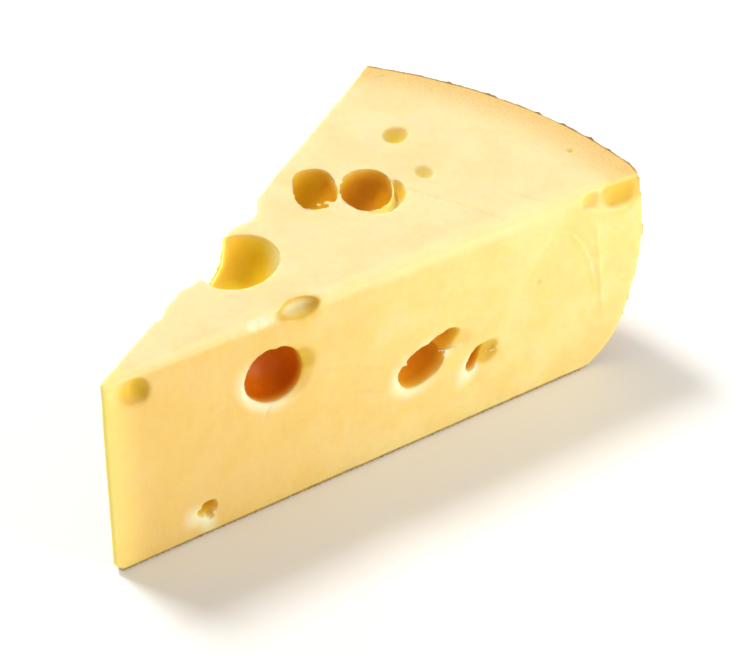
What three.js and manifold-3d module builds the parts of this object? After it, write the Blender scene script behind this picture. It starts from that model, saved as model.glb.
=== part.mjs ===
// A wedge of semi-hard cheese with round eyes, cut from a low wheel with a rind.
// Millimetres, +Z up. The wedge lies on the rind of the wheel's base. Its sharp end points along -Y
// and the wheel's rim closes it at +Y. The top and the two sides are knife cuts, so the rind is left
// on the rim and the base only. Everything is one solid, as the real piece is.
// It is laid out from the line where the two side cuts meet, and moved at the end so that the origin
// is under the middle of the base.

import * as THREE from 'three';
import { mergeVertices } from 'three/addons/utils/BufferGeometryUtils.js';
import Module from 'manifold-3d';

const wasm = await Module();
wasm.setup();

// Driving dimensions
const height = 61.2; // from the base to the top cut
const wedgeAngle = THREE.MathUtils.degToRad(31.9); // between the two side cuts
const tipRadius = 0.9; // the sharp end is slightly blunt
const wheelRadius = 130; // where the top cut meets the rim
const wheelAxis = new THREE.Vector2(11.7, 33.5); // the cuts meet a little short of the wheel's middle
const rimBulge = 2.9; // how far the rim swells past the top cut's edge
const baseRounding = { in: 15, up: 24 }; // the soft corner between the rim and the base
const wheelSegments = 120;

const halfAngle = wedgeAngle / 2;
const yAxis = new THREE.Vector3(0, 1, 0);
const zAxis = new THREE.Vector3(0, 0, 1);

// A closed geometry as a manifold-3d solid. Only positions are kept, so that shared vertices merge.
function solidOf(geometry) {
  const bare = geometry.clone();
  bare.deleteAttribute('normal');
  bare.deleteAttribute('uv');
  const merged = mergeVertices(bare, 1e-4);
  return new wasm.Manifold(
    new wasm.Mesh({
      numProp: 3,
      vertProperties: merged.attributes.position.array,
      triVerts: new Uint32Array(merged.index.array),
    }),
  );
}

// The wheel: half its section, from the middle of the base round the swollen rim to the top cut.
function wheel() {
  const rim = new THREE.SplineCurve([
    new THREE.Vector2(wheelRadius - baseRounding.in, 0),
    new THREE.Vector2(wheelRadius - 0.55 * baseRounding.in, 0.055 * height),
    new THREE.Vector2(wheelRadius - 0.2 * baseRounding.in, 0.17 * height),
    new THREE.Vector2(wheelRadius + 0.6, baseRounding.up),
    new THREE.Vector2(wheelRadius + rimBulge, 0.655 * height),
    new THREE.Vector2(wheelRadius + 0.4 * rimBulge, 0.88 * height),
    new THREE.Vector2(wheelRadius, height),
  ]);
  const profile = [new THREE.Vector2(0, 0), ...rim.getPoints(15), new THREE.Vector2(0, height)];
  return new THREE.LatheGeometry(profile, wheelSegments)
    .rotateX(Math.PI / 2)
    .translate(wheelAxis.x, wheelAxis.y, 0);
}

// The two side cuts: a triangle in plan with a rounded tip, taller than the wheel and past its rim.
function cutOut() {
  const margin = 10;
  const reach = 1.3 * (wheelAxis.y + wheelRadius);
  const tipCentre = tipRadius / Math.sin(halfAngle);
  const plan = new THREE.Shape();
  plan.moveTo(reach * Math.tan(halfAngle), reach);
  plan.lineTo(-reach * Math.tan(halfAngle), reach);
  plan.absarc(0, tipCentre, tipRadius, Math.PI + halfAngle, 2 * Math.PI - halfAngle, false);
  plan.closePath();
  return new THREE.ExtrudeGeometry(plan, {
    depth: height + 2 * margin,
    bevelEnabled: false,
    curveSegments: 5,
  }).translate(0, 0, -margin);
}

// The cut faces that eyes open on. On a side cut, an eye is placed by its distance from the line where
// the cuts meet and its height. On the top cut it is placed by X and Y.
const faces = {
  top: {
    across: new THREE.Vector3(1, 0, 0),
    up: yAxis,
    out: zAxis,
    origin: new THREE.Vector3(0, 0, height),
  },
  right: sideFace(1),
  left: sideFace(-1),
};

function sideFace(side) {
  const across = new THREE.Vector3(side * Math.sin(halfAngle), Math.cos(halfAngle), 0);
  const out = new THREE.Vector3(side * Math.cos(halfAngle), -Math.sin(halfAngle), 0);
  return { across, up: zAxis, out, origin: new THREE.Vector3() };
}

// The eyes. `sink` is how far the middle of the bubble lies below the face, or above it if negative,
// `radii` are across, up and into the face, and `turn` tilts it on the face, in degrees.
const eyes = [
  // top cut: a long eye, a double eye, and two shallow dents
  { face: 'top', at: [-14.5, 96.4], sink: 2.5, radii: [10.3, 6.1, 8.5], turn: 139 },
  { face: 'top', at: [-4.4, 105.3], sink: 2.5, radii: [9.8, 6.9, 9], turn: 135 },
  { face: 'top', at: [0.8, 105.6], sink: 1, radii: [8, 5.6, 5], turn: 112 },
  { face: 'top', at: [-14.6, 130.2], sink: -2, radii: [5, 4.4, 4.4], turn: 102 },
  { face: 'top', at: [2.5, 121.6], sink: -1.6, radii: [4.2, 3.4, 3.2], turn: 160 },
  // left edge: a large eye that opens on the top too, and the rest of one mostly cut away
  { face: 'left', at: [59.6, 59], sink: 6.6, radii: [12.4, 12, 11.2], turn: 0 },
  { face: 'left', at: [80, 57], sink: -4.7, radii: [8.8, 9.4, 8.6], turn: 0 },
  // right cut: the round eye, a torn pair, a slit with a soft hollow beside it, and a small one
  { face: 'right', at: [50.8, 42.1], sink: 3, radii: [8.6, 8.9, 8.8], turn: 20 },
  { face: 'right', at: [96.2, 24.4], sink: 2, radii: [6.6, 5.7, 7.5], turn: 30 },
  { face: 'right', at: [102.4, 29.8], sink: 1.2, radii: [4.8, 3.3, 4], turn: 30 },
  { face: 'right', at: [113.6, 20.2], sink: 1.5, radii: [3.6, 1.4, 5], turn: 57 },
  { face: 'right', at: [118, 20], sink: -3.4, radii: [5, 4.6, 5], turn: 0 },
  { face: 'right', at: [30, 7.9], sink: 0.8, radii: [2.5, 2, 3.4], turn: 0 },
  // right cut, where it meets the top: two at the tip, one broken by the edge, one by the rind
  { face: 'right', at: [4.6, 58.6], sink: -3.5, radii: [6.6, 6.2, 5.4], turn: 0 },
  { face: 'right', at: [12.3, 54.6], sink: -0.6, radii: [4, 3.8, 3.4], turn: 0 },
  { face: 'right', at: [58.8, 60.6], sink: 0.8, radii: [5.2, 3.4, 3.2], turn: -8 },
  { face: 'right', at: [159.6, 54.6], sink: -4.6, radii: [6.4, 6, 6], turn: 0 },
  // left cut, away from the edge
  { face: 'left', at: [116, 27], sink: 2.6, radii: [8.2, 7.8, 8], turn: 0 },
  { face: 'left', at: [36, 24], sink: 1.6, radii: [5.4, 5, 5.2], turn: 25 },
  { face: 'left', at: [139, 43], sink: 0.6, radii: [3.4, 2.8, 3], turn: 40 },
];

// One eye: a bubble as an ellipsoid, with fewer facets where it is small.
function bubble(eye) {
  const face = faces[eye.face];
  const fine = Math.max(...eye.radii) > 6;
  const centre = face.origin
    .clone()
    .addScaledVector(face.across, eye.at[0])
    .addScaledVector(face.up, eye.at[1])
    .addScaledVector(face.out, -eye.sink);
  const inward = new THREE.Vector3().crossVectors(face.across, face.up);
  const placed = new THREE.Matrix4().makeBasis(face.across, face.up, inward).setPosition(centre);
  return new THREE.SphereGeometry(1, fine ? 20 : 14, fine ? 14 : 10)
    .scale(...eye.radii)
    .rotateZ(THREE.MathUtils.degToRad(eye.turn))
    .applyMatrix4(placed);
}

// Back to three.js: each triangle keeps its own corners, so that the facets draw flat.
function geometryOf(solid) {
  const mesh = solid.getMesh();
  const indexed = new THREE.BufferGeometry();
  indexed.setAttribute('position', new THREE.BufferAttribute(mesh.vertProperties, 3));
  indexed.setIndex(new THREE.BufferAttribute(mesh.triVerts, 1));
  const flat = indexed.toNonIndexed();
  flat.computeVertexNormals();
  return flat;
}

function wedge() {
  let solid = solidOf(wheel()).intersect(solidOf(cutOut()));
  for (const eye of eyes) {
    solid = solid.subtract(solidOf(bubble(eye)));
  }
  return geometryOf(solid);
}

const paste = new THREE.MeshStandardMaterial({
  color: 0xf6dc92, // pale warm yellow, slightly moist
  roughness: 0.5,
  metalness: 0,
});

const cheese = new THREE.Mesh(wedge(), paste);
cheese.name = 'cheese_wedge';
cheese.geometry.computeBoundingBox();
const middle = cheese.geometry.boundingBox.getCenter(new THREE.Vector3());
cheese.position.set(-middle.x, -middle.y, 0);

const part = new THREE.Group();
part.add(cheese);

export default part;
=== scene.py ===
import math
import bpy
import numpy as np
from mathutils import Matrix, Vector


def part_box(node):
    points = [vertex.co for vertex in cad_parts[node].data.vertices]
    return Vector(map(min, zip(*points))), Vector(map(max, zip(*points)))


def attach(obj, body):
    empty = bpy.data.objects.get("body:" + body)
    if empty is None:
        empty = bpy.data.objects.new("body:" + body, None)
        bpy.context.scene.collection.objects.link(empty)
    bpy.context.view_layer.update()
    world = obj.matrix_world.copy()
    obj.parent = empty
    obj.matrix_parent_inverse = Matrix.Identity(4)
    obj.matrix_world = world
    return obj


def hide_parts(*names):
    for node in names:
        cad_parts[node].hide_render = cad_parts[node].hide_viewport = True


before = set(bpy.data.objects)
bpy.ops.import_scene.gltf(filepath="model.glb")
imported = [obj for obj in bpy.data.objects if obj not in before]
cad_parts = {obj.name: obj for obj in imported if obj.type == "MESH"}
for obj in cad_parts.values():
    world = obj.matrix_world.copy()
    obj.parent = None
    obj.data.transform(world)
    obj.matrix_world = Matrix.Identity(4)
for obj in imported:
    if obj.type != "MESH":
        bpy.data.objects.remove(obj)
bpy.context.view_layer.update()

# ---- The camera ---------------------------------------------------------------------------------
# A long lens that looks down on the wedge from in front of its right cut. It is far enough away
# that the upright edges stay nearly parallel.
AZIMUTH = math.radians(40.05)  # 0 looks along +Y
ELEVATION = math.radians(37.94)
DISTANCE = 0.7356
AIM = Vector((0.0093, 0.0077, 0.0301))

ahead = Vector((-math.sin(AZIMUTH), math.cos(AZIMUTH), 0))
sight = math.cos(ELEVATION) * ahead - Vector((0, 0, math.sin(ELEVATION)))
bpy.ops.object.camera_add(
    location=AIM - DISTANCE * sight,
    rotation=(math.pi / 2 - ELEVATION, 0, AZIMUTH),
)
camera = bpy.context.object
camera.data.lens = 134
camera.data.sensor_width = 36
camera.data.clip_start = 0.01
bpy.context.scene.camera = camera

# ---- The wheel and its cuts ---------------------------------------------------------------------
# The cheese starts as a low pressed wheel whose rim swells at mid height and rounds in to the base.
# A knife took a wedge out of it with two upright cuts, and a wire took the top off level.
MM = 0.001
HALF_ANGLE = math.radians(31.9) / 2
TIP_RADIUS = 0.9 * MM
WHEEL_RADIUS = 130 * MM  # at the top cut
WHEEL_SIDES = 200
RINGS = 36
RING_CROWDING = 1.6  # above 1, the rings lie closer together near the base, where the corner is round
SAME_PLACE = 0.01 * MM  # points this close count as one

low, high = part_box("cheese_wedge")
height = high.z
RIM_SWELL = 2.9 * MM  # how far the rim swells past the top cut's edge
SWELL_HEIGHT = 0.655 * height
SWELL_REACH = 21.2 * MM  # up or down from its fullest height to where the swell is nothing
CORNER_IN = 9 * MM  # the round corner between the rim and the base
CORNER_UP = 12 * MM

TIP_DEPTH = 0.3 * MM  # points of the CAD piece this close to its foremost one are its tip
TIP_FLAT = 0.1 * MM  # the sharp end is flat this far behind that point
FOOT_HEIGHT = 2.6 * MM  # the tip's foot is worn off from here down
FOOT_SLOPE = (0, -0.75, -0.66)  # how the worn place faces

tip_points = [
    vertex.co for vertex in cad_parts["cheese_wedge"].data.vertices
    if vertex.co.y < low.y + TIP_DEPTH
]
meet = Vector((
    sum(p.x for p in tip_points) / len(tip_points),
    low.y + TIP_RADIUS - TIP_RADIUS / math.sin(HALF_ANGLE),
    0,
))  # where the two side cuts would meet
wheel_axis = meet + MM * Vector((11.7, 33.5, 0))
right_out = Vector((math.cos(HALF_ANGLE), -math.sin(HALF_ANGLE), 0))
left_out = Vector((-math.cos(HALF_ANGLE), -math.sin(HALF_ANGLE), 0))
right_along = Vector((math.sin(HALF_ANGLE), math.cos(HALF_ANGLE), 0))
left_along = Vector((-math.sin(HALF_ANGLE), math.cos(HALF_ANGLE), 0))
straight_up = Vector((0, 0, 1))

# The long top edges are worn round, the right one more towards the rim: how the face beside each
# points and runs, and the edge's radius at the tip and at the rim.
EDGES = (
    (right_out, right_along, 1.2 * MM, 4.2 * MM),
    (left_out, left_along, 0.5 * MM, 0.8 * MM),
)
EDGE_LENGTH = 165 * MM
EDGE_TILTS = (18, 45, 72)  # degrees from level, of the facets that round an edge


def rim_radius(z):
    """The wheel's radius at a height: the swell, less the round corner at the base."""
    swell = RIM_SWELL * (1 - ((z - SWELL_HEIGHT) / SWELL_REACH) ** 2)
    up = np.clip(z / CORNER_UP, 0, 1)
    corner = CORNER_IN * (1 - np.sqrt(1 - (1 - up) ** 2))
    return WHEEL_RADIUS + swell - corner


def select_points(test):
    """Selects the vertices of the mesh in edit mode whose place passes the test."""
    bpy.ops.mesh.select_all(action="DESELECT")
    bpy.ops.object.mode_set(mode="OBJECT")
    for vertex in bpy.context.object.data.vertices:
        vertex.select = test(vertex.co)
    bpy.ops.object.mode_set(mode="EDIT")


def slice_off(point, outward):
    """Cuts all of the mesh in edit mode by a plane, and closes the cut."""
    bpy.ops.mesh.select_all(action="SELECT")
    bpy.ops.mesh.bisect(plane_co=point, plane_no=outward, use_fill=True, clear_outer=True)


bpy.ops.object.select_all(action="DESELECT")
bpy.ops.mesh.primitive_cylinder_add(
    vertices=WHEEL_SIDES,
    radius=WHEEL_RADIUS,
    depth=height,
    location=wheel_axis + height / 2 * straight_up,
)
cheese = bpy.context.object
cheese.name = "cheese"
bpy.ops.object.transform_apply(location=True, rotation=True, scale=True)
bpy.ops.object.mode_set(mode="EDIT")
ring_heights = [height * (ring / RINGS) ** RING_CROWDING for ring in range(RINGS + 1)]
for z in ring_heights[1:-1]:
    bpy.ops.mesh.select_all(action="SELECT")
    bpy.ops.mesh.bisect(plane_co=(0, 0, z), plane_no=straight_up)
for z in ring_heights:
    select_points(lambda place: abs(place.z - z) < SAME_PLACE)
    ratio = rim_radius(z) / WHEEL_RADIUS
    bpy.ops.transform.resize(value=(ratio, ratio, 1), center_override=wheel_axis + z * straight_up)

slice_off(meet, right_out)
slice_off(meet, left_out)
slice_off((0, low.y + TIP_FLAT, 0), (0, -1, 0))
slice_off((0, low.y, FOOT_HEIGHT), FOOT_SLOPE)
for out, along, at_tip, at_rim in EDGES:
    for tilt in map(math.radians, EDGE_TILTS):
        from_corner = (math.cos(tilt) - 1) * straight_up + (math.sin(tilt) - 1) * out
        down_arc = math.cos(tilt) * out - math.sin(tilt) * straight_up
        near = meet + height * straight_up + at_tip * from_corner
        far = meet + height * straight_up + at_rim * from_corner + EDGE_LENGTH * along
        facet = down_arc.cross(far - near).normalized()
        slice_off(near, facet if facet.z > 0 else -facet)
bpy.ops.object.mode_set(mode="OBJECT")

# ---- The eyes -----------------------------------------------------------------------------------
# Gas bubbles in the curd that the knife opened. Each is a rounded hollow with smooth walls. Shallow
# ones were nearly missed by the cut, and two were dragged half shut by the blade.
LARGE_BUBBLE = 4  # mm, the radius above which a bubble is drawn more finely


def face_frame(face):
    """The point a cut face is measured from, and its directions along, up and out. A side starts
    where the cuts meet, and the top has X along it and Y up it."""
    if face == "top":
        return meet + height * straight_up, Vector((1, 0, 0)), Vector((0, 1, 0)), straight_up
    if face == "left":
        return meet, left_along, straight_up, left_out
    return meet, right_along, straight_up, right_out


def place_on(face, at, sink=0):
    """The point on a cut face, or `sink` below it, all in millimetres along and up the face."""
    start, along, up, out = face_frame(face)
    return start + MM * (at[0] * along + at[1] * up - sink * out)


def bubble(face, at, sink, radii, turn=0, order=2, grow=0):
    """A closed ellipsoid on a cut face, in millimetres and degrees. `sink` is how deep its middle
    lies, a higher order makes it squarer, and `grow` widens it all round."""
    _, along, up, _ = face_frame(face)
    centre = place_on(face, at, sink)
    bpy.ops.mesh.primitive_ico_sphere_add(subdivisions=5 if max(radii) > LARGE_BUBBLE else 3, radius=1)
    made = bpy.context.object
    tilt = Matrix.Rotation(math.radians(turn), 3, "Z")
    axes = Matrix((along, up, along.cross(up))).transposed() @ tilt
    for vertex in made.data.vertices:
        x, y, z = vertex.co
        square = (abs(x) ** order + abs(y) ** order) ** (1 / order)
        widen = math.hypot(x, y) / square if square > 1e-6 else 1
        sized = Vector((
            (radii[0] + grow) * x * widen,
            (radii[1] + grow) * y * widen,
            (radii[2] + grow) * z,
        ))
        vertex.co = centre + MM * (axes @ sized)
    return made


def take_away(target, cutter):
    """Cuts one closed object out of another."""
    apply_modifier(target, "BOOLEAN", operation="DIFFERENCE", solver="MANIFOLD", object=cutter)
    bpy.data.objects.remove(cutter)


def apply_modifier(target, kind, **settings):
    """Adds a modifier with its settings and applies it."""
    bpy.ops.object.select_all(action="DESELECT")
    bpy.context.view_layer.objects.active = target
    modifier = target.modifiers.new(kind.lower(), kind)
    for name, value in settings.items():
        setattr(modifier, name, value)
    bpy.ops.object.modifier_apply(modifier=modifier.name)


# the face, the place, the depth of the middle, the radii along, up and in, the turn and the order
EYES = [
    # the top: the long eye, the twin eye, two dents and a pinhole
    ("top", (-14.5, 96.9), 2.2, (9.2, 5.4, 8.5), 139, 2.7),
    ("top", (-4.2, 105.6), 2.5, (9.2, 6.7, 8.6), 132, 2.2),
    ("top", (-14.6, 130.2), -1.8, (4.6, 4, 3.8), 102, 2),
    ("top", (2.5, 121.6), -1.4, (3.8, 3, 2.8), 160, 2),
    ("top", (25.9, 154.3), 0.1, (1, 0.8, 1.2), 0, 2),
    # the left edge: the big eye that opens two faces, its worn lip, a scoop and a nick
    ("left", (60.6, 59), 8.5, (11.6, 12, 10), 0, 2.1),
    ("left", (51.5, 61.5), -4.8, (13.5, 6.5, 7.5), -22, 2),
    ("left", (80, 57), -4.7, (8.8, 9.4, 8.6), 0, 2),
    ("left", (32.5, 61), -4.4, (5, 6, 5.6), 0, 2),
    # the left cut
    ("left", (116, 27), 2.6, (8.2, 7.8, 8), 0, 2),
    ("left", (36, 24), 1.6, (5.4, 5, 5.2), 25, 2),
    ("left", (139, 43), 0.6, (3.4, 2.8, 3), 40, 2),
    # the right cut: the round eye and its soft lip
    ("right", (50.9, 42), 3, (9.2, 7.8, 8.8), 135, 2),
    ("right", (49.6, 41), -3.6, (11.3, 11.3, 5.2), 0, 2),
    ("right", (53.8, 41.4), -1.3, (10.2, 9.8, 3.3), 0, 2),
    # the torn eye, in two bubbles with a soft lip, and the slit with the hollow beside it
    ("right", (96, 24.9), 2, (7, 5.6, 7.5), 28, 2.3),
    ("right", (102.6, 29.8), 1.2, (5.4, 3, 4.4), 14, 2.3),
    ("right", (94.8, 23.6), -2.8, (11, 9, 4), 28, 2),
    ("right", (107, 28.4), -1.8, (6.4, 4.4, 3), 0, 2),
    ("right", (113.2, 20), 1.6, (4, 1.7, 5), 57, 2),
    ("right", (116.6, 20.4), -1.5, (5.6, 4.2, 3.2), 30, 2),
    # a pip by the base and a pinhole
    ("right", (29.8, 8.2), 0.8, (2.8, 2, 3.4), 12, 2.6),
    ("right", (30.6, 6.2), 0.4, (1.1, 2, 1.8), 0, 2),
    ("right", (133.4, 36.4), 0.1, (0.9, 0.7, 1), 0, 2),
    # the right top edge: the bowl and pit at the tip, a broken pip with its tail, a pit
    ("right", (9.8, 55.2), -5.3, (9, 7, 7), -10, 2),
    ("right", (12.3, 54.6), -0.8, (3.2, 4.2, 4), 8, 2),
    ("right", (59.2, 59.9), 0.2, (5.2, 3.2, 3.9), -6, 2),
    ("right", (55, 61), -2.4, (7.4, 4, 4), 0, 2),
    ("right", (46.2, 61.6), -3.4, (5.6, 3.8, 4.6), 0, 2),
    # the corner by the rim, where a flake came off
    ("right", (159, 57.5), -1.6, (17, 8.6, 2.2), -10, 3),
    ("right", (159.6, 55), -1.6, (6.4, 4.4, 3), -6, 3.4),
    ("right", (149.8, 56.6), -1.3, (3.6, 3.4, 2.6), -8, 3.4),
]
SECOND_LOBE = ("top", (-0.2, 105.5), 0.4, (8.2, 6.6, 4.6), 112, 2.3)
TWIN = EYES[1]

# The twin eye's two bubbles kept a thin wall between them: a shell of the deeper one.
WALL_OUTSIDE = 0.85  # mm past the deeper bubble
WALL_INSIDE = 0.1
WALL_BELOW_TOP = 0.4 * MM
take_away(cheese, bubble(*SECOND_LOBE))
wall = bubble(*TWIN, grow=WALL_OUTSIDE)
take_away(wall, bubble(*TWIN, grow=WALL_INSIDE))
bpy.ops.object.mode_set(mode="EDIT")
slice_off((0, 0, height - WALL_BELOW_TOP), straight_up)
bpy.ops.object.mode_set(mode="OBJECT")
for eye in EYES:
    take_away(cheese, bubble(*eye))

# ---- What the knife dragged ---------------------------------------------------------------------
# Soft curd smears and tears under a blade: thin strands and crumbs are left on the lips of the
# eyes, fine scores run across the faces, and a flake lifted along a curve near the rim.
STRAND_END = 0.35  # the least thickness of a strand, as a part of its greatest


def strand(face, route, radius):
    """A round strand along points on a cut face, in millimetres, thinner towards both ends."""
    bpy.ops.curve.primitive_nurbs_path_add()
    made = bpy.context.object
    made.data.splines.clear()
    spline = made.data.splines.new("NURBS")
    spline.points.add(len(route) - 1)
    for number, (point, at) in enumerate(zip(spline.points, route)):
        point.co = (*place_on(face, at), 1)
        swelling = math.sin(math.pi * (number + 0.5) / len(route))
        point.radius = STRAND_END + (1 - STRAND_END) * swelling
    spline.order_u = 3
    spline.use_endpoint_u = True
    made.data.resolution_u = 6
    made.data.bevel_depth = radius * MM
    made.data.bevel_resolution = 1
    made.data.use_fill_caps = True
    bpy.ops.object.select_all(action="DESELECT")
    made.select_set(True)
    bpy.ops.object.convert(target="MESH")
    bpy.ops.object.mode_set(mode="EDIT")
    bpy.ops.mesh.select_all(action="SELECT")
    bpy.ops.mesh.remove_doubles(threshold=SAME_PLACE)
    bpy.ops.mesh.normals_make_consistent(inside=False)
    bpy.ops.object.mode_set(mode="OBJECT")
    return bpy.context.object


# each score and strand: the face, the points it runs through and its radius
SCORES = [
    ("right", [(101, 27.3), (105, 25.9), (110, 24.8), (113, 24.2)], 0.45),
    ("right", [(48.9, 34.2), (48.9, 31.6), (47.9, 29)], 0.7),
    ("right", [(60, 38.9), (70, 35.4), (88.6, 27.9)], 0.85),
    ("right", [(69.9, 26.6), (79, 23.6), (88.6, 20.2)], 0.8),
    ("right", [(29, 5), (28.8, 3.6), (28.4, 2.2)], 0.4),
    (
        "right",
        [(133.5, 54.2), (142, 51.6), (146, 46.8), (149.4, 41.6), (151.6, 36), (153.4, 27)],
        0.7,
    ),
    ("top", [(1.6, 112.3), (16, 115.5), (31.8, 118.3)], 0.8),
    ("top", [(24, 128.1), (31, 130), (39.2, 132)], 0.8),
]
STRANDS = [
    ("right", [(100.4, 28.4), (103.4, 27.4), (107, 26.6), (112, 25.4)], 0.62),
    ("right", [(101.8, 25.8), (105, 24.8), (109.5, 23.4)], 0.5),
    ("right", [(116, 21.2), (118.6, 20.6), (121.6, 20.2)], 0.4),
    (
        "right",
        [(132.6, 53.2), (142, 50.4), (145.4, 46), (148.6, 41.2), (150.8, 35.6), (152.6, 27)],
        0.62,
    ),
    ("right", [(151.5, 49.6), (153.4, 36), (154.6, 26), (155.6, 18)], 0.66),
    ("right", [(145.6, 55), (152.4, 52.7), (158, 50.8), (162, 49.6)], 0.66),
    ("right", [(54.8, 54.6), (55.2, 56), (55.9, 57.9)], 0.5),
    ("right", [(56.6, 54), (57, 55.6), (57.4, 57.4)], 0.42),
    ("right", [(30.9, 8), (31.2, 6.8), (31, 5.6)], 0.45),
]
# each crumb is a small bubble of paste, in the same terms as an eye
CRUMBS = [
    ("top", (-7.5, 94.4), 0.5, (1.6, 1, 0.9), 20, 2),
    ("top", (-9.3, 92.4), 0.7, (1.1, 0.8, 0.8), 0, 2),
    ("top", (-11.2, 103.6), 0.5, (1.3, 0.9, 0.9), 60, 2),
    ("top", (-10, 101.6), 0.9, (0.9, 0.8, 0.8), 0, 2),
    ("right", (51.2, 50.2), 0.4, (0.9, 0.7, 0.8), 0, 2),
    ("right", (27.8, 9.2), 0.2, (0.8, 0.6, 0.6), 0, 2),
    ("right", (91, 27.6), 0.3, (0.8, 0.6, 0.8), 0, 2),
]
RIND_BITS = (-14, -8.6, -7.8, -1.5, 2.4, 6.6, 9.7)  # degrees round the rim from +Y
RIND_BIT_SINK = 0.4
RIND_BIT_RADII = (1.1, 0.7, 0.65)
for degrees in RIND_BITS:
    way = math.radians(degrees)
    from_axis = WHEEL_RADIUS * Vector((math.sin(way), math.cos(way), 0))
    bit = (wheel_axis - meet + from_axis) / MM
    CRUMBS.append(("top", (bit.x, bit.y), RIND_BIT_SINK, RIND_BIT_RADII, -degrees, 2))
# where the blade closed the surface over and left it soft: the face, the place and the reach
SOFT_PLACES = [
    ("right", (10.5, 55), 6.5),
    ("right", (56, 61), 11),
    ("right", (61, 42), 4.5),
    ("right", (109, 28.6), 5),
    ("right", (119.4, 21), 4),
    ("left", (49, 61), 9),
    ("left", (80, 60), 10),
]
for score in SCORES:
    take_away(cheese, strand(*score))
left_on = [wall] + [strand(*each) for each in STRANDS] + [bubble(*crumb) for crumb in CRUMBS]
bpy.ops.object.select_all(action="DESELECT")
for each in left_on:
    each.select_set(True)
cheese.select_set(True)
bpy.context.view_layer.objects.active = cheese
bpy.ops.object.join()

# ---- The skin of the cheese ---------------------------------------------------------------------
# The paste is softly elastic, so every cut edge rounds over a little. The blade left shallow waves
# across the cuts, and the brushed rind is pitted and uneven.
VOXEL = 0.45 * MM
MOST_TRIANGLES = 190000
SOFT_END = 1.6  # reaches from the middle of a soft place to where it ends
EVEN_BASE = 2 * MM  # the surface is even at the base, and fully uneven this far above it
EVEN_CUT = 3 * MM  # the same for the rind and the right cut
EVEN_TIP = 22 * MM  # the same for the tip, which is too thin to be uneven
LEAST_UNEVEN = 0.1  # what is left of the unevenness at the tip
RIND_DEPTH = 0.8 * MM
RIND_FULL = 0.3  # the part of that depth where the rind is full


def points_of(mesh_object):
    """The mesh's vertices as rows of X, Y and Z."""
    flat = np.empty(3 * len(mesh_object.data.vertices))
    mesh_object.data.vertices.foreach_get("co", flat)
    return flat.reshape(-1, 3)


def depth_below_faces(points):
    """How far points lie below the rim, and below the nearest outer face of any kind."""
    from_meet = points - np.array(meet)
    from_axis = points - np.array(wheel_axis)
    below_rim = rim_radius(points[:, 2]) - np.hypot(from_axis[:, 0], from_axis[:, 1])
    below_top = height - points[:, 2]
    depths = [below_top, points[:, 2], below_rim]
    for out, along, at_tip, at_rim in EDGES:
        below_side = -from_meet @ np.array(out)
        radius = at_tip + (at_rim - at_tip) * (from_meet @ np.array(along)) / EDGE_LENGTH
        in_round = (below_top < radius) & (below_side < radius)
        rounded = radius - np.hypot(radius - below_top, radius - below_side)
        depths += [below_side, np.where(in_round, rounded, height)]
    return below_rim, np.min(depths, axis=0)


def below_right_cut(points):
    """How far points lie in from the plane of the right cut."""
    return (np.array(meet) - points) @ np.array(right_out)


def weigh(name, weights):
    """Makes a vertex group of the cheese from weights of 0 to 1, and gives back its name."""
    group = cheese.vertex_groups.new(name=name)
    for index, weight in enumerate(weights):
        group.add([index], float(weight), "REPLACE")
    return name


def ruffle(name, feature, depth, group):
    """Sinks the surface by up to `depth`, in a cloudy pattern with features of one size."""
    clouds = bpy.data.textures.new(name, "CLOUDS")
    clouds.noise_scale = feature
    clouds.noise_depth = 2
    apply_modifier(cheese, "DISPLACE", texture=clouds, strength=depth, mid_level=1, vertex_group=group)


apply_modifier(cheese, "REMESH", mode="VOXEL", voxel_size=VOXEL)
apply_modifier(cheese, "SMOOTH", factor=0.5, iterations=6)
points = points_of(cheese)
off_base = np.clip(points[:, 2] / EVEN_BASE, 0, 1)
soft = np.zeros(len(points))
for face, at, reach in SOFT_PLACES:
    away = np.linalg.norm(points - np.array(place_on(face, at)), axis=1) / (reach * MM)
    soft = np.maximum(soft, SOFT_END - away)
weigh("soft", np.clip(2 * soft, 0, 1) * off_base)
apply_modifier(cheese, "SMOOTH", factor=0.5, iterations=28, vertex_group="soft")
points = points_of(cheese)
below_rim, _ = depth_below_faces(points)
in_rind = np.clip(1 + RIND_FULL - below_rim / RIND_DEPTH, 0, 1)
off_cut = np.clip(below_right_cut(points) / EVEN_CUT, 0, 1)
on_rim = in_rind * off_cut * off_base
off_tip = np.clip((points[:, 1] - low.y) / EVEN_TIP, LEAST_UNEVEN, 1)
ruffle("knife waves", 16 * MM, 0.7 * MM, weigh("cut", off_base * off_tip * (1 - on_rim)))
ruffle("curd", 3.5 * MM, 0.22 * MM, "cut")
ruffle("rind pits", 1.8 * MM, 0.3 * MM, weigh("rim", on_rim))
ruffle("rind dents", 8 * MM, 0.6 * MM, "rim")
apply_modifier(cheese, "SMOOTH", factor=0.5, iterations=2)
apply_modifier(cheese, "DECIMATE", ratio=MOST_TRIANGLES / (2 * len(cheese.data.polygons)))
bpy.ops.object.select_all(action="DESELECT")
cheese.select_set(True)
bpy.ops.object.shade_smooth()
cheese.vertex_groups.clear()
within = np.clip(points_of(cheese), low, high)
cheese.data.vertices.foreach_set("co", within.ravel())

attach(cheese, "root")
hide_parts("cheese_wedge")

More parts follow.
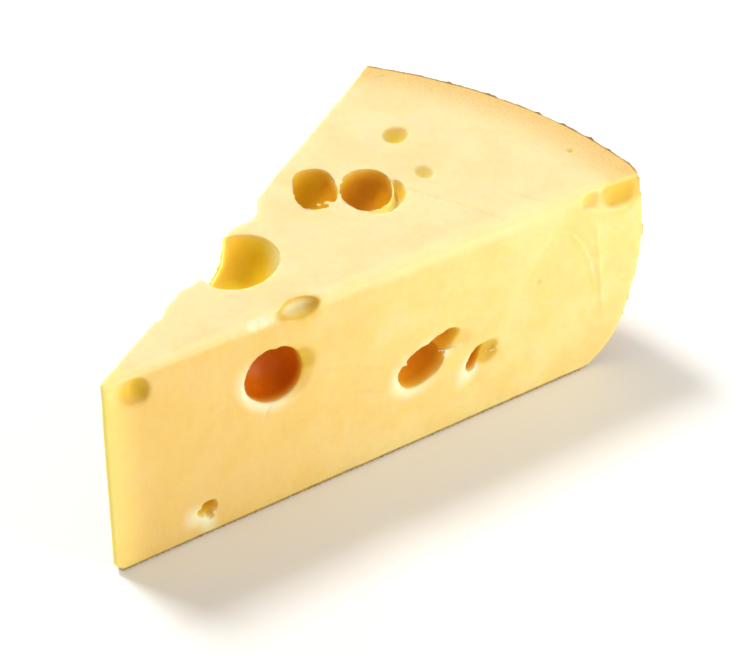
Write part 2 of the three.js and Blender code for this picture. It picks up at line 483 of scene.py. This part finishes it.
# ---- The finish of the cheese -------------------------------------------------------------------
# One pressed, ripened paste. It is pale on the cuts, glossy in the eyes, tan and grainy towards the
# rim, and it has grown a thin dry rind on the rim and the base. Painted shade turns the eyes golden to
# orange-brown and darkens the shallow hollows and the side near the tip; painted highlights lie on the
# lips, two eye walls and the right top edge, and the thin tip has a painted glow.
LIP = 5.2  # mm that the painted highlight on a lip reaches from its eye
LIP_RELIEF = 2.5  # mm that a lip may lie off its cut face
LIP_SINK = 0.2  # mm, an eye no deeper than this has no lip
LIP_BESIDE = 0.3  # how strong a lip is beside its eye
UNLIT_LIP_WAY = (0.75, 0.66)  # the way, towards the rim and up, to the lips that keep no painted highlight
EDGE_HIGHLIGHT_FADE = 45 * MM  # the painted highlight on the right top edge fades over this, up to the rim
EDGE_HIGHLIGHT_REACH = 1.7  # edge radii that the painted highlight shows over
EDGE_HIGHLIGHT_FULL = 0.15  # the part of that reach where it is full
RIND_START = 0.3  # mm in from the right cut
GLOOM_START = 0.6  # mm below the faces where the painted shade of a dark eye starts
GLOOM_DEPTH = 4  # mm more to where it is darkest
GOLDEN_START = 0.25  # the same for the painted shade of a shallow hollow
GOLDEN_DEPTH = 0.8
# the eyes with more painted shade deep in: the face, the place, the reach and how dark
SHADED_EYES = [
    ("right", (50.8, 42.2), 12, 1),
    ("right", (98, 26), 12, 0.6),
    ("right", (114, 20), 5, 0.9),
    ("right", (30, 8), 4, 0.6),
    ("top", (-14.4, 96.9), 13, 0.15),
    ("top", (-6, 104), 12, 0.5),
]
# the shallow hollows, golden with painted shade, in the same terms
SHADED_HOLLOWS = [
    ("right", (12.8, 54.4), 4.2, 0.65),
    ("right", (59.5, 60), 5.5, 1),
    ("right", (60.2, 43), 3.2, 0.7),
    ("right", (117.4, 20.6), 3.6, 0.8),
    ("right", (160, 55), 6.2, 0.9),
    ("right", (149.8, 56.6), 3.6, 0.4),
    ("top", (-14.6, 130.2), 4.2, 0.6),
    ("top", (2.5, 121.6), 3.4, 0.5),
]
# painted highlights on the walls of two eyes, in the same terms
EYE_HIGHLIGHTS = [
    ("top", (0, 60), 13, 0.6),
    ("top", (3, 101.5), 8.5, 0.5),
]
# a painted white highlight on the right top edge, in the same terms
EDGE_GLARE = [
    ("right", (45.6, 61), 1.5, 1),
    ("right", (48.2, 60.6), 1.3, 0.9),
    ("right", (51, 60.2), 1, 0.6),
]


def eye_lips(points):
    """How strongly each point is the lip of an eye in the right cut, from 0 to 1, for a painted
    highlight. The lips below and towards the tip get the highlight, as a thin pale band."""
    lips = np.zeros(len(points))
    for face, at, sink, radii, turn, _ in EYES:
        if face != "right" or sink <= LIP_SINK:
            continue
        start, along, up, out = face_frame(face)
        local = (points - np.array(start)) / MM
        x = local @ np.array(along) - at[0]
        y = local @ np.array(up) - at[1]
        turned = math.radians(turn)
        across = x * math.cos(turned) + y * math.sin(turned)
        upward = y * math.cos(turned) - x * math.sin(turned)
        opening = math.sqrt(1 - (sink / radii[2]) ** 2)
        size = np.hypot(across / (radii[0] * opening), upward / (radii[1] * opening))
        beyond = (size - 1) * opening * math.sqrt(radii[0] * radii[1])
        toward_unlit_lips = UNLIT_LIP_WAY[0] * x + UNLIT_LIP_WAY[1] * y
        side = np.clip(LIP_BESIDE - (1 - LIP_BESIDE) * toward_unlit_lips / np.hypot(x, y), 0, 1)
        on_face = np.abs(local @ np.array(out)) < LIP_RELIEF
        lips = np.maximum(lips, np.clip(1 - beyond / LIP, 0, 1) * side * on_face)
    return lips


def around(points, places, fade=3):
    """How close each point is to the nearest of some places on the faces, from 0 to 1. It is full
    within a place's reach, and a lower `fade` takes it further out."""
    closest = np.zeros(len(points))
    for face, at, reach, strength in places:
        away = np.linalg.norm(points - np.array(place_on(face, at)), axis=1) / (reach * MM)
        closest = np.maximum(closest, strength * np.clip(1 + fade * (1 - away), 0, 1))
    return closest


def edge_highlight_band(points):
    """How close each point is to the long right top edge, from 0 to 1, over the width of its painted
    highlight.
    """
    from_meet = points - np.array(meet)
    out, along, at_tip, at_rim = EDGES[0]
    radius = at_tip + (at_rim - at_tip) * (from_meet @ np.array(along)) / EDGE_LENGTH
    from_edge = np.hypot(height - points[:, 2], from_meet @ np.array(out))
    to_far_end = np.clip((EDGE_LENGTH - from_meet @ np.array(along)) / EDGE_HIGHLIGHT_FADE, 0, 1)
    return np.clip(1 + EDGE_HIGHLIGHT_FULL - from_edge / (EDGE_HIGHLIGHT_REACH * radius), 0, 1) * to_far_end


def linear(hex_colour):
    """An sRGB hex colour as linear red, green, blue and alpha."""
    channels = [int(hex_colour[i:i + 2], 16) / 255 for i in (1, 3, 5)]
    curve = [c / 12.92 if c <= 0.04045 else ((c + 0.055) / 1.055) ** 2.4 for c in channels]
    return (*curve, 1)


def add_node(tree, kind, inputs=(), output=0, **settings):
    """Adds a node and gives its output. `inputs` maps a socket to a value or to another output."""
    node = tree.nodes.new(kind)
    for name, value in settings.items():
        setattr(node, name, value)
    for socket, value in dict(inputs).items():
        if isinstance(value, bpy.types.NodeSocket):
            tree.links.new(value, node.inputs[socket])
        else:
            node.inputs[socket].default_value = value
    return node.outputs[output]


points = points_of(cheese)
below_rim, below_all = depth_below_faces(points)
deep_in_eye = np.clip((below_all / MM - GLOOM_START) / GLOOM_DEPTH, 0, 1)
deep_in_hollow = np.clip((below_all / MM - GOLDEN_START) / GOLDEN_DEPTH, 0, 1)
for name, values in (
    ("inside", below_all / MM),
    ("to_rim", below_rim / MM),
    ("rind", np.clip(below_right_cut(points) / MM - RIND_START, 0, 1)),
    ("lip_highlight", np.maximum(eye_lips(points), around(points, EDGE_GLARE, fade=1))),
    ("gloom", around(points, SHADED_EYES) * deep_in_eye),
    ("golden", around(points, SHADED_HOLLOWS, fade=2) * deep_in_hollow),
    ("pale", around(points, EYE_HIGHLIGHTS)),
    ("edge_highlight", edge_highlight_band(points)),
):
    attribute = cheese.data.attributes.new(name, "FLOAT", "POINT")
    attribute.data.foreach_set("value", values)

# Semi-hard cheese paste, cut by a blade. Fat at the surface gives a soft sheen, light sinks in and
# comes out warm, and the colour is never quite even.
paste = bpy.data.materials.new("semi_hard_cheese_paste")
paste.use_nodes = True
tree = paste.node_tree
tree.nodes.clear()
inside, to_rim, rind, lip_highlight, gloom, golden, pale, edge_highlight = (
    add_node(tree, "ShaderNodeAttribute", output="Fac", attribute_name=name)
    for name in ("inside", "to_rim", "rind", "lip_highlight", "gloom", "golden", "pale", "edge_highlight")
)
place = add_node(tree, "ShaderNodeTexCoord", output="Object")
normal = add_node(tree, "ShaderNodeTexCoord", output="Normal")
facing = add_node(tree, "ShaderNodeSeparateXYZ", {"Vector": normal}, output="Z")
level = add_node(tree, "ShaderNodeSeparateXYZ", {"Vector": place}, output="Z")
lengthwise = add_node(tree, "ShaderNodeSeparateXYZ", {"Vector": place}, output="Y")

# The blade drags the paste, so its scores lie along its path, which turns from X on the top and
# runs down towards the rim on the side.
TOP_PATH = math.radians(11)
SIDE_PATH = math.radians(21)
SCORE_STRETCH = (14, 1, 1)
side_path = math.cos(SIDE_PATH) * right_along - math.sin(SIDE_PATH) * straight_up
side_turn = Matrix((side_path, side_path.cross(right_out), right_out)).transposed().to_euler()
drags = [
    add_node(tree, "ShaderNodeMapping", {
        "Vector": place,
        "Rotation": turn,
        "Scale": SCORE_STRETCH,
    }, vector_type="TEXTURE")
    for turn in ((0, 0, TOP_PATH), side_turn)
]

# each noise: its feature size, its detail and where it reads
noises = {}
for name, feature, detail, where in (
    ("patches", 16 * MM, 3, place),
    ("mottles", 6 * MM, 4, place),
    ("curd", 2.2 * MM, 3, place),
    ("grain", 0.7 * MM, 2, place),
    ("top scores", 1.6 * MM, 3, drags[0]),
    ("side scores", 1.6 * MM, 3, drags[1]),
    ("rind crust", 1.1 * MM, 4, place),
    ("rind stains", 5 * MM, 4, place),
):
    noises[name] = add_node(tree, "ShaderNodeTexNoise", {
        "Vector": where,
        "Scale": 1 / feature,
        "Detail": detail,
        "Roughness": 0.55,
    })

# each mask: what it reads, where it is 0, where it is 1, and what that is in the end
masks = {}
for name, value, at_none, at_full, most in (
    ("top", facing, 0.45, 0.8, 1),
    ("side", facing, 0.8, 0.45, 1),
    ("pale patch", noises["patches"], 0.42, 0.66, 0.25),
    ("warm patch", noises["patches"], 0.54, 0.34, 0.22),
    ("mottled", noises["mottles"], 0.5, 0.7, 0.2),
    ("curdy", noises["curd"], 0.52, 0.66, 0.1),
    ("near rim", to_rim, 16, 0, 1),
    ("rim grains", noises["grain"], 0.5, 0.62, 0.5),
    ("shade by the tip", lengthwise, low.y + 105 * MM, low.y + 30 * MM, 0.5),
    ("tip glow", lengthwise, low.y + 11 * MM, low.y + 2 * MM, 0.8),
    ("edge_highlight", edge_highlight, 0, 0.7, 0.6),
    ("lip_highlight", lip_highlight, 0, 0.9, 0.95),
    ("eye", inside, 0.7, 2.6, 1),
    ("deep eye shade", inside, 2, 8, 0.8),
    ("gloomy", gloom, 0, 1, 1),
    ("golden", golden, 0, 1, 0.9),
    ("pale wall", pale, 0, 0.8, 1),
    ("rim rind", to_rim, 1.3, 0.6, 1),
    ("off the cut", rind, 0, 1, 1),
    ("base rind", level, 1.1 * MM, 0.5 * MM, 1),
    ("stained", noises["rind stains"], 0.36, 0.68, 0.8),
    ("crusty", noises["rind crust"], 0.44, 0.72, 0.6),
    ("rim top", level, height - 2.4 * MM, height - 0.8 * MM, 1),
):
    masks[name] = add_node(tree, "ShaderNodeMapRange", {
        "Value": value,
        "From Min": at_none,
        "From Max": at_full,
        "To Max": most,
    }, interpolation_type="SMOOTHSTEP")
for name, first, second in (
    ("eye glints", "eye", "pale wall"),
    ("shade by the tip", "shade by the tip", "side"),
    ("near rim", "near rim", "top"),
    ("rim grains", "near rim", "rim grains"),
    ("rim rind", "rim rind", "off the cut"),
    ("rim stains", "rim rind", "stained"),
    ("rim crust", "rim rind", "crusty"),
    ("rim line", "rim rind", "rim top"),
    ("base crust", "base rind", "crusty"),
):
    factors = {0: masks[first], 1: masks[second]}
    masks[name] = add_node(tree, "ShaderNodeMath", factors, operation="MULTIPLY")

# a mix node's sockets go by number, because those for values and for colours share their names
FACTOR, VALUE_A, VALUE_B, COLOUR_A, COLOUR_B = 0, 2, 3, 6, 7
MIXED_COLOUR = 2

# each colour lies over the ones before it, where its mask is
# Painted shade: the side cuts are a little darker and warmer than the top, which the key lights.
colour = add_node(tree, "ShaderNodeMix", {
    FACTOR: masks["top"],
    COLOUR_A: linear("#F6DA8A"),
    COLOUR_B: linear("#F8E3AA"),
}, data_type="RGBA", output=MIXED_COLOUR)
for mask, over in (
    ("pale patch", "#FBEBBB"),
    ("warm patch", "#F2CE86"),
    ("mottled", "#F8E6B4"),
    ("curdy", "#EFC77C"),
    ("near rim", "#F1CB82"),
    ("rim grains", "#E0B86E"),
    # painted shade: the side cut darker and warmer towards the tip
    ("shade by the tip", "#ECBE62"),
    # a painted glow: the thin tip is painted paler, as if lit through
    ("tip glow", "#FBE48A"),
    # a painted highlight along the rounded right top edge
    ("edge_highlight", "#FAEDB4"),
    # painted highlights on the lips of the eyes and on the right top edge
    ("lip_highlight", "#FFF6D0"),
    # painted shade: deeper in an eye the paste turns more saturated, then darker
    ("eye", "#FCDF50"),
    ("deep eye shade", "#F8CC18"),
    # more painted shade deep in some eyes
    ("gloomy", "#D87610"),
    # painted shade in the shallow hollows
    ("golden", "#E0B840"),
    # painted highlights on two eye walls
    ("eye glints", "#FFF2BE"),
    ("rim rind", "#E8BE66"),
    ("rim stains", "#CC9A4E"),
    ("rim crust", "#A67C40"),
    ("rim line", "#7A6538"),
    ("base rind", "#B08A48"),
    ("base crust", "#5E5026"),
):
    colour = add_node(tree, "ShaderNodeMix", {
        FACTOR: masks[mask],
        COLOUR_A: colour,
        COLOUR_B: linear(over),
    }, data_type="RGBA", output=MIXED_COLOUR)

# each relief adds to the height of the bumps by its share
scores = add_node(tree, "ShaderNodeMix", {
    FACTOR: masks["top"],
    VALUE_A: noises["side scores"],
    VALUE_B: noises["top scores"],
})
factors = {0: noises["rind crust"], 1: masks["rim rind"]}
crust = add_node(tree, "ShaderNodeMath", factors, operation="MULTIPLY")
relief = 0
for part, share in ((scores, 0.55), (noises["grain"], 0.22), (noises["curd"], 0.5), (crust, 1.4)):
    terms = {0: part, 1: share, 2: relief}
    relief = add_node(tree, "ShaderNodeMath", terms, operation="MULTIPLY_ADD")
bumps = add_node(tree, "ShaderNodeBump", {"Height": relief, "Strength": 0.7, "Distance": 0.35 * MM})

# the sheen: glossy eye walls, satin cuts, matt hollows and a dry rind
roughness = add_node(tree, "ShaderNodeMapRange", {
    "Value": noises["mottles"],
    "From Min": 0.3,
    "From Max": 0.7,
    "To Min": 0.38,
    "To Max": 0.52,
})
for mask, value in (("eye", 0.3), ("golden", 0.62), ("rim rind", 0.66), ("base rind", 0.7)):
    roughness = add_node(tree, "ShaderNodeMix", {
        FACTOR: masks[mask],
        VALUE_A: roughness,
        VALUE_B: value,
    })
surface = add_node(tree, "ShaderNodeBsdfPrincipled", {
    "Base Color": colour,
    "Roughness": roughness,
    "Normal": bumps,
    "IOR": 1.45,
    "Specular IOR Level": 0.15,
    "Subsurface Weight": 1.0,
    "Subsurface Radius": (1.0, 0.72, 0.18),
    "Subsurface Scale": 2.7 * MM,
})
tree.links.new(surface, tree.nodes.new("ShaderNodeOutputMaterial").inputs["Surface"])
cheese.data.materials.clear()
cheese.data.materials.append(paste)

# ---- The floor and the light --------------------------------------------------------------------
# A plain white ground and a soft key from high over the left cut. A low warm lamp on that side, a
# small warm fill in front of the right cut and a faint cool room lift the shadows.
bpy.ops.object.select_all(action="DESELECT")
bpy.ops.mesh.primitive_plane_add(size=6)
ground = bpy.context.object
ground.name = "ground"
white = bpy.data.materials.new("white_ground")
white.use_nodes = True
tree = white.node_tree
tree.nodes.clear()
surface = add_node(tree, "ShaderNodeBsdfPrincipled", {
    "Base Color": linear("#FEFDFC"),
    "Roughness": 0.9,
})
tree.links.new(surface, tree.nodes.new("ShaderNodeOutputMaterial").inputs["Surface"])
ground.data.materials.append(white)


LAMP_AIM = Vector((0, 0, 0.03))


def soft_light(name, place, size, power, colour):
    """A square area lamp that faces the cheese."""
    bpy.ops.object.light_add(type="AREA", location=place)
    lamp = bpy.context.object
    lamp.name = name
    lamp.rotation_euler = (LAMP_AIM - place).to_track_quat("-Z", "Y").to_euler()
    lamp.data.size = size
    lamp.data.energy = power
    lamp.data.color = colour


key_place = 2 * straight_up - 1.02 * right_out - 0.34 * right_along
side_place = 0.3 * straight_up - 0.95 * right_out - 0.2 * right_along
fill_place = 0.42 * right_out + 0.26 * right_along + 0.16 * straight_up
soft_light("key", key_place, 0.55, 31, (1, 0.99, 0.97))
soft_light("side", side_place, 0.4, 4.6, (1, 0.96, 0.9))
soft_light("fill", fill_place, 0.36, 1.75, (1, 0.96, 0.9))

room = bpy.data.worlds.new("room")
room.use_nodes = True
room.node_tree.nodes["Background"].inputs["Color"].default_value = (0.93, 0.96, 1, 1)
room.node_tree.nodes["Background"].inputs["Strength"].default_value = 0.37
bpy.context.scene.world = room
bpy.context.scene.view_settings.view_transform = "Standard"
